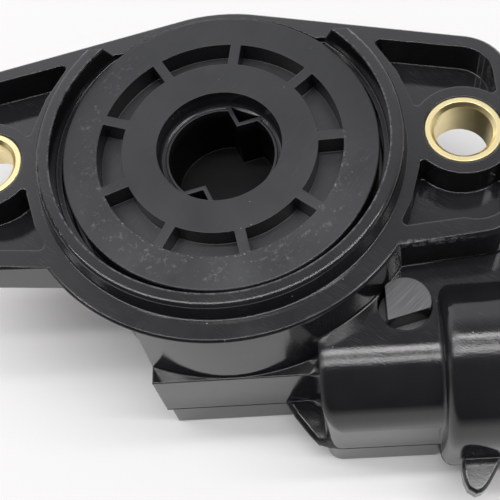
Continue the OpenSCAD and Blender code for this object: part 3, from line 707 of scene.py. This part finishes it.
def floor_material(colour):
    """Matte pale floor that keeps the part's shadow and shows a little brighter than it lights."""
    material = bpy.data.materials.new("Pale Floor")
    material.use_nodes = True
    material.node_tree.nodes.clear()
    build = Tree(material.node_tree)
    # Far from the part the floor turns into the plain tone of the world's horizon
    spot = build.add("ShaderNodeNewGeometry").outputs["Position"]
    distance = build.add("ShaderNodeVectorMath", {0: spot}, operation="LENGTH").outputs["Value"]
    far = build.remap(distance, *FLOOR_FADE)
    matte = build.add("ShaderNodeBsdfDiffuse", {"Color": build.mix(far, colour, (0, 0, 0, 1))})
    near_lift, far_glow = 0.05, 1.04
    strength = build.remap(far, 0.0, 1.0, near_lift, far_glow)
    lift = build.add("ShaderNodeEmission", {"Color": colour, "Strength": strength})
    both = build.add("ShaderNodeAddShader", {0: matte.outputs[0], 1: lift.outputs[0]})
    shown = shown_directly(build)
    seen = build.add("ShaderNodeMixShader", {0: shown, 1: matte.outputs[0], 2: both.outputs[0]})
    build.add("ShaderNodeOutputMaterial", {"Surface": seen.outputs[0]})
    return material


def card_material():
    """Matte black card that fades out towards its foot."""
    material, build, shader = new_material("Black Card", Roughness=0.9)
    weave = build.noise(build.place(), 400.0)
    build.feed(shader["Base Color"], build.mix(weave, (0.02, 0.02, 0.022, 1), (0.035, 0.035, 0.037, 1)))
    height = build.add("ShaderNodeSeparateXYZ", {"Vector": build.place()}).outputs["Y"]
    build.feed(shader["Alpha"], build.remap(height, -CARD_HALF_HEIGHT, CARD_FADE - CARD_HALF_HEIGHT))
    return material


def dress_world(scene):
    """White backdrop behind on the left, dim elsewhere, with an even grey for the light that it gives."""
    world = bpy.data.worlds.new("Studio")
    world.use_nodes = True
    world.node_tree.nodes.clear()
    scene.world = world
    build = Tree(world.node_tree)
    overhead, low_sky = (0.16, 0.16, 0.17, 1), (0.85, 0.85, 0.86, 1)
    backdrop, light = (1.35, 1.37, 1.43, 1), (0.25, 0.25, 0.25, 1)
    rays = build.add("ShaderNodeTexCoord").outputs["Generated"]
    axes = build.add("ShaderNodeSeparateXYZ", {"Vector": rays}).outputs
    behind = build.every(
        build.remap(axes["Y"], *BACK_Y), build.remap(axes["Z"], *ZENITH_Z),
        build.remap(axes["X"], *RIGHT_TO_LEFT_X, 0.5, 1.0),
    )
    plain = build.mix(build.remap(axes["Z"], *HORIZON_Z), overhead, low_sky)
    sky = build.mix(behind, plain, backdrop)
    seen = build.mix(shown_directly(build), light, sky)
    background = build.add("ShaderNodeBackground", {"Color": seen, "Strength": 1.0})
    build.add("ShaderNodeOutputWorld", {"Surface": background.outputs[0]})


def hang_lamps(studio):
    """Two strip lamps along the part, and a wide lamp that leaves no mirror image."""
    for side in (-1, 1):
        place = (0, side * studio.lamp_gap / 2, studio.lamp_height)
        area_lamp("Strip_Lamp", place, (studio.lamp_length, studio.lamp_width), studio.lamp_power)
    area_lamp("Fill_Lamp", FILL_PLACE, (FILL_SIDE, FILL_SIDE), studio.fill_power, glossy=False)


def lay_floor_and_card(studio):
    """The floor under the part, and a black card before it that only reflections show."""
    side, under = FLOOR_HALF_SIDE, cad_low.z - FLOOR_CLEARANCE
    sheet("Floor", side, side, (0, 0, under), (0, 0, 0), floor_material(studio.floor_colour))
    middle = (0, CARD_Y, cad_low.z + CARD_HALF_HEIGHT)
    upright = (math.radians(90), 0, 0)
    card = sheet("Front_Card", CARD_HALF_WIDTH, CARD_HALF_HEIGHT, middle, upright, card_material())
    for seen_by in ("visible_camera", "visible_diffuse", "visible_transmission", "visible_shadow"):
        setattr(card, seen_by, False)


def set_camera(scene, studio):
    camera = bpy.data.objects.new("Camera", bpy.data.cameras.new("Camera"))
    camera.location = studio.camera_place
    camera.rotation_euler = studio.camera_turn
    camera.data.sensor_width = CAMERA_FRAME_WIDTH
    camera.data.lens = studio.camera_lens
    camera.data.clip_start = 1 * MM
    scene.collection.objects.link(camera)
    scene.camera = camera


class SENSOR_OT_stage(bpy.types.Operator):
    """Set the floor, the lamps, the world and the camera"""

    bl_idname = "sensor.stage"
    bl_label = "Studio"

    def execute(self, context):
        scene = context.scene
        studio = scene.sensor_studio
        lay_floor_and_card(studio)
        hang_lamps(studio)
        dress_world(scene)
        set_camera(scene, studio)
        scene.view_settings.view_transform = "Standard"
        return {"FINISHED"}


OPERATORS = (
    SENSOR_OT_housing, SENSOR_OT_plug, SENSOR_OT_rotor, SENSOR_OT_metals, SENSOR_OT_inside, SENSOR_OT_stage,
)


class SENSOR_PT_panel(bpy.types.Panel):
    """Lists the steps that dress the sensor"""

    bl_idname = "SENSOR_PT_panel"
    bl_label = "Throttle Position Sensor"
    bl_space_type = "VIEW_3D"
    bl_region_type = "UI"
    bl_category = "Sensor"

    def draw(self, context):
        for operator in OPERATORS:
            self.layout.operator(operator.bl_idname)


SETTINGS = {
    "sensor_housing": HousingLook, "sensor_rotor": RotorLook, "sensor_metal": MetalLook,
    "sensor_inside": InsideLook, "sensor_studio": StudioSettings,
}
CLASSES = (*SETTINGS.values(), *OPERATORS, SENSOR_PT_panel)


def register():
    for made in CLASSES:
        bpy.utils.register_class(made)
    for name, settings in SETTINGS.items():
        setattr(bpy.types.Scene, name, PointerProperty(type=settings))


def unregister():
    for name in SETTINGS:
        delattr(bpy.types.Scene, name)
    for made in reversed(CLASSES):
        bpy.utils.unregister_class(made)


def main():
    register()
    for operator in OPERATORS:
        group, step = operator.bl_idname.split(".")
        getattr(getattr(bpy.ops, group), step)()


if __name__ == "__main__":
    main()
